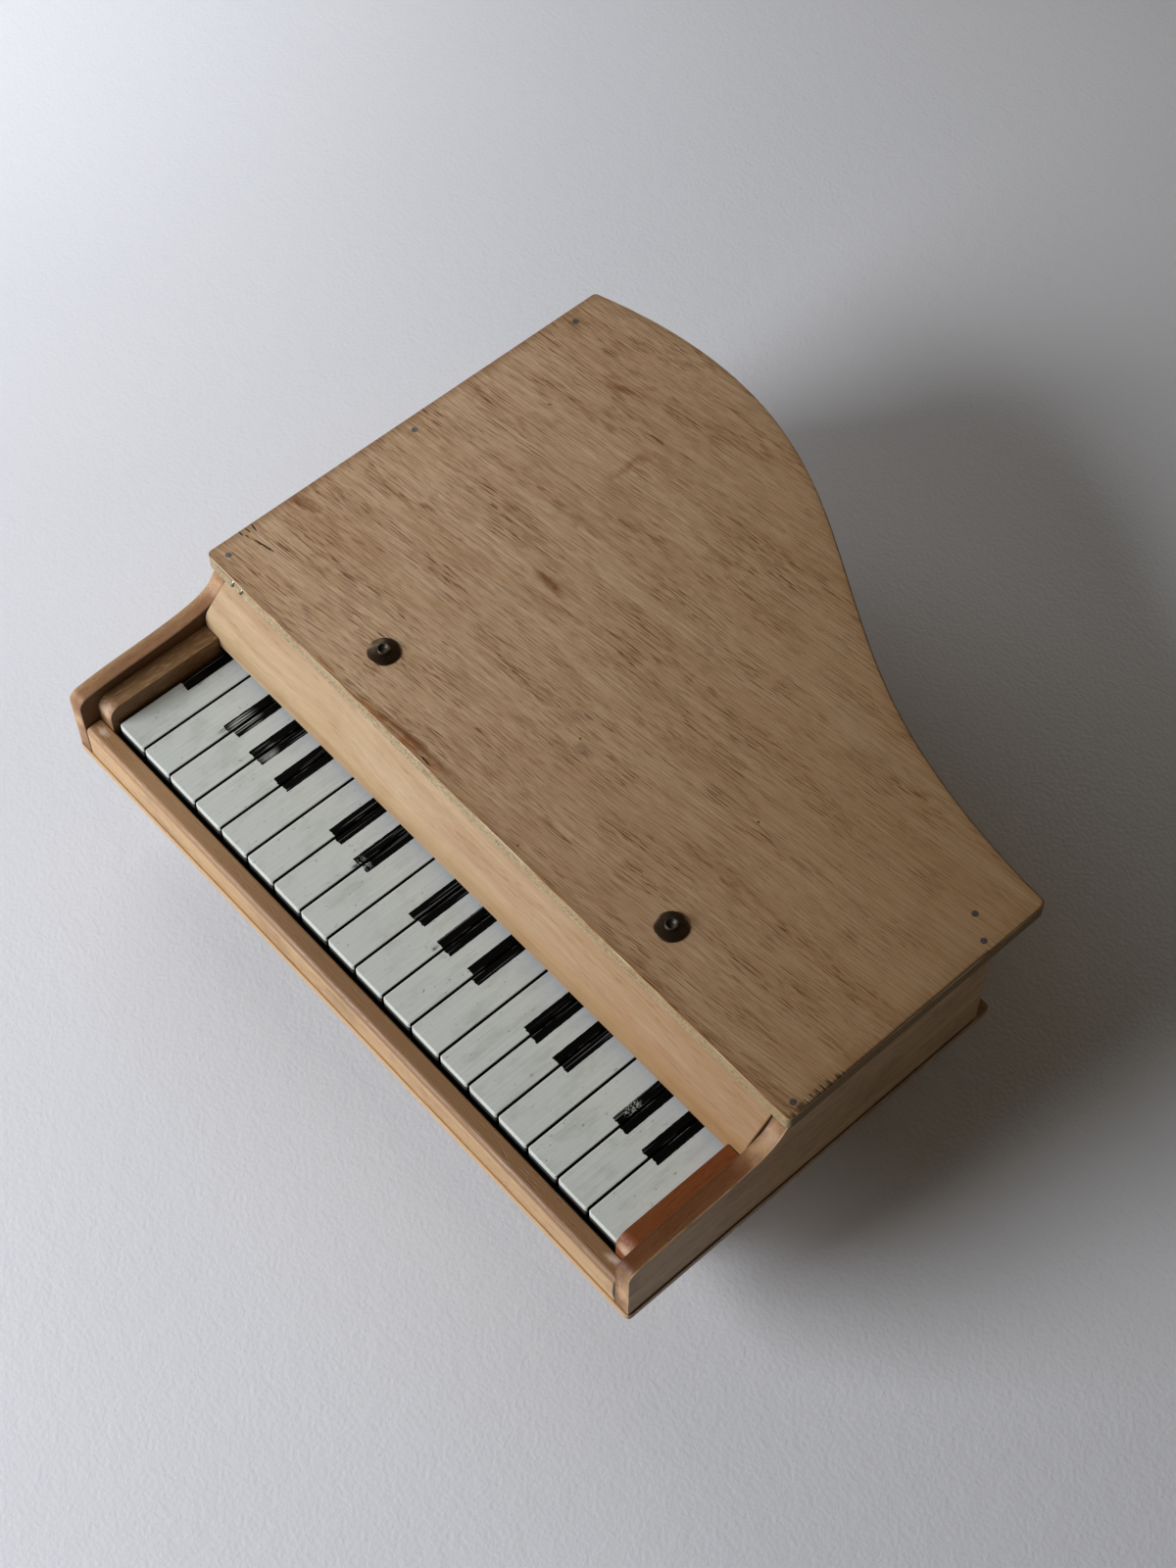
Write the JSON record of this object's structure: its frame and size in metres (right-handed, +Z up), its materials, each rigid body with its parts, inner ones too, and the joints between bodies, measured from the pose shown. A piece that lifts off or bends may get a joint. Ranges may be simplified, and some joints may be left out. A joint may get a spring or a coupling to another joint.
{
  "type": "toy piano",
  "caption": "Bare wooden toy baby grand piano with painted keys that press, hammers under the lid striking steel tone rods, and three short peg legs.",
  "frame": {"origin": "centre of the bounding box in plan, on the floor plane under the three legs", "axes": "+X towards the treble end of the keyboard, +Y from the keyboard to the tail, +Z up"},
  "size_m": [0.303, 0.2679, 0.0949],
  "materials": {
    "lid_veneer": "bare plywood veneer with open pores",
    "arm_wood": "sanded softwood with leftover reddish stain",
    "rail_wood": "sanded softwood, scuffed",
    "case_wood": "bare thin board",
    "fallboard_pine": "sanded pine",
    "leg_wood": "turned, bare",
    "key_paint": "white paint, worn, with painted black bars",
    "hammer_wood": "bare",
    "felt": "pressed felt",
    "steel": "drawn wire",
    "iron": "as cast, painted dark",
    "dark_bronze": "aged dark, satin"
  },
  "bodies": {
    "case": {"lid": "lid_veneer", "base_board": "case_wood", "left_side": "arm_wood", "right_side": "arm_wood", "bent_side": "case_wood", "front_rail": "rail_wood", "fallboard": "fallboard_pine", "key_block_left": "arm_wood", "key_block_right": "arm_wood", "balance_rail": "case_wood", "key_rest_rail": "case_wood", "key_felts": "felt", "key_pivot_wire": "steel", "hammer_rail": "hammer_wood", "hammer_pivot_wire": "steel", "tone_bar": "iron", "tone_rods": "steel", "lid_bolts": "dark_bronze", "cup_washers": "dark_bronze", "lid_nails": "steel", "leg_front_left": "leg_wood", "leg_front_right": "leg_wood", "leg_tail": "leg_wood", "leg_screws": "steel"},
    "key_01": {"key_01": "key_paint"},
    "key_02": {"key_02": "key_paint"},
    "key_03": {"key_03": "key_paint"},
    "key_04": {"key_04": "key_paint"},
    "key_05": {"key_05": "key_paint"},
    "key_06": {"key_06": "key_paint"},
    "key_07": {"key_07": "key_paint"},
    "key_08": {"key_08": "key_paint"},
    "key_09": {"key_09": "key_paint"},
    "key_10": {"key_10": "key_paint"},
    "key_11": {"key_11": "key_paint"},
    "key_12": {"key_12": "key_paint"},
    "key_13": {"key_13": "key_paint"},
    "key_14": {"key_14": "key_paint"},
    "key_15": {"key_15": "key_paint"},
    "key_16": {"key_16": "key_paint"},
    "key_17": {"key_17": "key_paint"},
    "key_18": {"key_18": "key_paint"},
    "hammer_01": {"hammer_01": "hammer_wood"},
    "hammer_02": {"hammer_02": "hammer_wood"},
    "hammer_03": {"hammer_03": "hammer_wood"},
    "hammer_04": {"hammer_04": "hammer_wood"},
    "hammer_05": {"hammer_05": "hammer_wood"},
    "hammer_06": {"hammer_06": "hammer_wood"},
    "hammer_07": {"hammer_07": "hammer_wood"},
    "hammer_08": {"hammer_08": "hammer_wood"},
    "hammer_09": {"hammer_09": "hammer_wood"},
    "hammer_10": {"hammer_10": "hammer_wood"},
    "hammer_11": {"hammer_11": "hammer_wood"},
    "hammer_12": {"hammer_12": "hammer_wood"},
    "hammer_13": {"hammer_13": "hammer_wood"},
    "hammer_14": {"hammer_14": "hammer_wood"},
    "hammer_15": {"hammer_15": "hammer_wood"},
    "hammer_16": {"hammer_16": "hammer_wood"},
    "hammer_17": {"hammer_17": "hammer_wood"},
    "hammer_18": {"hammer_18": "hammer_wood"}
  },
  "joints": [
    {"name": "key_01_press", "type": "hinge", "parent": "case", "child": "key_01", "pos_m": [-0.1275, -0.06215, 0.0525], "axis": [1, 0, 0], "range_deg": [0, 4.6], "stiffness_Nm_per_rad": 0.06, "springref_deg": -11.46},
    {"name": "key_02_press", "type": "hinge", "parent": "case", "child": "key_02", "pos_m": [-0.1125, -0.06215, 0.0525], "axis": [1, 0, 0], "range_deg": [0, 4.6], "stiffness_Nm_per_rad": 0.06, "springref_deg": -11.46},
    {"name": "key_03_press", "type": "hinge", "parent": "case", "child": "key_03", "pos_m": [-0.0975, -0.06215, 0.0525], "axis": [1, 0, 0], "range_deg": [0, 4.6], "stiffness_Nm_per_rad": 0.06, "springref_deg": -11.46},
    {"name": "key_04_press", "type": "hinge", "parent": "case", "child": "key_04", "pos_m": [-0.0825, -0.06215, 0.0525], "axis": [1, 0, 0], "range_deg": [0, 4.6], "stiffness_Nm_per_rad": 0.06, "springref_deg": -11.46},
    {"name": "key_05_press", "type": "hinge", "parent": "case", "child": "key_05", "pos_m": [-0.0675, -0.06215, 0.0525], "axis": [1, 0, 0], "range_deg": [0, 4.6], "stiffness_Nm_per_rad": 0.06, "springref_deg": -11.46},
    {"name": "key_06_press", "type": "hinge", "parent": "case", "child": "key_06", "pos_m": [-0.0525, -0.06215, 0.0525], "axis": [1, 0, 0], "range_deg": [0, 4.6], "stiffness_Nm_per_rad": 0.06, "springref_deg": -11.46},
    {"name": "key_07_press", "type": "hinge", "parent": "case", "child": "key_07", "pos_m": [-0.0375, -0.06215, 0.0525], "axis": [1, 0, 0], "range_deg": [0, 4.6], "stiffness_Nm_per_rad": 0.06, "springref_deg": -11.46},
    {"name": "key_08_press", "type": "hinge", "parent": "case", "child": "key_08", "pos_m": [-0.0225, -0.06215, 0.0525], "axis": [1, 0, 0], "range_deg": [0, 4.6], "stiffness_Nm_per_rad": 0.06, "springref_deg": -11.46},
    {"name": "key_09_press", "type": "hinge", "parent": "case", "child": "key_09", "pos_m": [-0.0075, -0.06215, 0.0525], "axis": [1, 0, 0], "range_deg": [0, 4.6], "stiffness_Nm_per_rad": 0.06, "springref_deg": -11.46},
    {"name": "key_10_press", "type": "hinge", "parent": "case", "child": "key_10", "pos_m": [0.0075, -0.06215, 0.0525], "axis": [1, 0, 0], "range_deg": [0, 4.6], "stiffness_Nm_per_rad": 0.06, "springref_deg": -11.46},
    {"name": "key_11_press", "type": "hinge", "parent": "case", "child": "key_11", "pos_m": [0.0225, -0.06215, 0.0525], "axis": [1, 0, 0], "range_deg": [0, 4.6], "stiffness_Nm_per_rad": 0.06, "springref_deg": -11.46},
    {"name": "key_12_press", "type": "hinge", "parent": "case", "child": "key_12", "pos_m": [0.0375, -0.06215, 0.0525], "axis": [1, 0, 0], "range_deg": [0, 4.6], "stiffness_Nm_per_rad": 0.06, "springref_deg": -11.46},
    {"name": "key_13_press", "type": "hinge", "parent": "case", "child": "key_13", "pos_m": [0.0525, -0.06215, 0.0525], "axis": [1, 0, 0], "range_deg": [0, 4.6], "stiffness_Nm_per_rad": 0.06, "springref_deg": -11.46},
    {"name": "key_14_press", "type": "hinge", "parent": "case", "child": "key_14", "pos_m": [0.0675, -0.06215, 0.0525], "axis": [1, 0, 0], "range_deg": [0, 4.6], "stiffness_Nm_per_rad": 0.06, "springref_deg": -11.46},
    {"name": "key_15_press", "type": "hinge", "parent": "case", "child": "key_15", "pos_m": [0.0825, -0.06215, 0.0525], "axis": [1, 0, 0], "range_deg": [0, 4.6], "stiffness_Nm_per_rad": 0.06, "springref_deg": -11.46},
    {"name": "key_16_press", "type": "hinge", "parent": "case", "child": "key_16", "pos_m": [0.0975, -0.06215, 0.0525], "axis": [1, 0, 0], "range_deg": [0, 4.6], "stiffness_Nm_per_rad": 0.06, "springref_deg": -11.46},
    {"name": "key_17_press", "type": "hinge", "parent": "case", "child": "key_17", "pos_m": [0.1125, -0.06215, 0.0525], "axis": [1, 0, 0], "range_deg": [0, 4.6], "stiffness_Nm_per_rad": 0.06, "springref_deg": -11.46},
    {"name": "key_18_press", "type": "hinge", "parent": "case", "child": "key_18", "pos_m": [0.1275, -0.06215, 0.0525], "axis": [1, 0, 0], "range_deg": [0, 4.6], "stiffness_Nm_per_rad": 0.06, "springref_deg": -11.46},
    {"name": "hammer_01_strike", "type": "hinge", "parent": "case", "child": "hammer_01", "pos_m": [-0.1275, -0.00615, 0.0599], "axis": [-1, 0, 0], "range_deg": [0, 16.1]},
    {"name": "hammer_02_strike", "type": "hinge", "parent": "case", "child": "hammer_02", "pos_m": [-0.1125, -0.00615, 0.0599], "axis": [-1, 0, 0], "range_deg": [0, 16.1]},
    {"name": "hammer_03_strike", "type": "hinge", "parent": "case", "child": "hammer_03", "pos_m": [-0.0975, -0.00615, 0.0599], "axis": [-1, 0, 0], "range_deg": [0, 16.1]},
    {"name": "hammer_04_strike", "type": "hinge", "parent": "case", "child": "hammer_04", "pos_m": [-0.0825, -0.00615, 0.0599], "axis": [-1, 0, 0], "range_deg": [0, 16.1]},
    {"name": "hammer_05_strike", "type": "hinge", "parent": "case", "child": "hammer_05", "pos_m": [-0.0675, -0.00615, 0.0599], "axis": [-1, 0, 0], "range_deg": [0, 16.1]},
    {"name": "hammer_06_strike", "type": "hinge", "parent": "case", "child": "hammer_06", "pos_m": [-0.0525, -0.00615, 0.0599], "axis": [-1, 0, 0], "range_deg": [0, 16.1]},
    {"name": "hammer_07_strike", "type": "hinge", "parent": "case", "child": "hammer_07", "pos_m": [-0.0375, -0.00615, 0.0599], "axis": [-1, 0, 0], "range_deg": [0, 16.1]},
    {"name": "hammer_08_strike", "type": "hinge", "parent": "case", "child": "hammer_08", "pos_m": [-0.0225, -0.00615, 0.0599], "axis": [-1, 0, 0], "range_deg": [0, 16.1]},
    {"name": "hammer_09_strike", "type": "hinge", "parent": "case", "child": "hammer_09", "pos_m": [-0.0075, -0.00615, 0.0599], "axis": [-1, 0, 0], "range_deg": [0, 16.1]},
    {"name": "hammer_10_strike", "type": "hinge", "parent": "case", "child": "hammer_10", "pos_m": [0.0075, -0.00615, 0.0599], "axis": [-1, 0, 0], "range_deg": [0, 16.1]},
    {"name": "hammer_11_strike", "type": "hinge", "parent": "case", "child": "hammer_11", "pos_m": [0.0225, -0.00615, 0.0599], "axis": [-1, 0, 0], "range_deg": [0, 16.1]},
    {"name": "hammer_12_strike", "type": "hinge", "parent": "case", "child": "hammer_12", "pos_m": [0.0375, -0.00615, 0.0599], "axis": [-1, 0, 0], "range_deg": [0, 16.1]},
    {"name": "hammer_13_strike", "type": "hinge", "parent": "case", "child": "hammer_13", "pos_m": [0.0525, -0.00615, 0.0599], "axis": [-1, 0, 0], "range_deg": [0, 16.1]},
    {"name": "hammer_14_strike", "type": "hinge", "parent": "case", "child": "hammer_14", "pos_m": [0.0675, -0.00615, 0.0599], "axis": [-1, 0, 0], "range_deg": [0, 16.1]},
    {"name": "hammer_15_strike", "type": "hinge", "parent": "case", "child": "hammer_15", "pos_m": [0.0825, -0.00615, 0.0599], "axis": [-1, 0, 0], "range_deg": [0, 16.1]},
    {"name": "hammer_16_strike", "type": "hinge", "parent": "case", "child": "hammer_16", "pos_m": [0.0975, -0.00615, 0.0599], "axis": [-1, 0, 0], "range_deg": [0, 16.1]},
    {"name": "hammer_17_strike", "type": "hinge", "parent": "case", "child": "hammer_17", "pos_m": [0.1125, -0.00615, 0.0599], "axis": [-1, 0, 0], "range_deg": [0, 16.1]},
    {"name": "hammer_18_strike", "type": "hinge", "parent": "case", "child": "hammer_18", "pos_m": [0.1275, -0.00615, 0.0599], "axis": [-1, 0, 0], "range_deg": [0, 16.1]}
  ],
  "couplings": [
    {"joint": "hammer_01_strike", "follows": "key_01_press", "ratio": 3.48},
    {"joint": "hammer_02_strike", "follows": "key_02_press", "ratio": 3.48},
    {"joint": "hammer_03_strike", "follows": "key_03_press", "ratio": 3.48},
    {"joint": "hammer_04_strike", "follows": "key_04_press", "ratio": 3.48},
    {"joint": "hammer_05_strike", "follows": "key_05_press", "ratio": 3.48},
    {"joint": "hammer_06_strike", "follows": "key_06_press", "ratio": 3.48},
    {"joint": "hammer_07_strike", "follows": "key_07_press", "ratio": 3.48},
    {"joint": "hammer_08_strike", "follows": "key_08_press", "ratio": 3.48},
    {"joint": "hammer_09_strike", "follows": "key_09_press", "ratio": 3.48},
    {"joint": "hammer_10_strike", "follows": "key_10_press", "ratio": 3.48},
    {"joint": "hammer_11_strike", "follows": "key_11_press", "ratio": 3.48},
    {"joint": "hammer_12_strike", "follows": "key_12_press", "ratio": 3.48},
    {"joint": "hammer_13_strike", "follows": "key_13_press", "ratio": 3.48},
    {"joint": "hammer_14_strike", "follows": "key_14_press", "ratio": 3.48},
    {"joint": "hammer_15_strike", "follows": "key_15_press", "ratio": 3.48},
    {"joint": "hammer_16_strike", "follows": "key_16_press", "ratio": 3.48},
    {"joint": "hammer_17_strike", "follows": "key_17_press", "ratio": 3.48},
    {"joint": "hammer_18_strike", "follows": "key_18_press", "ratio": 3.48}
  ]
}
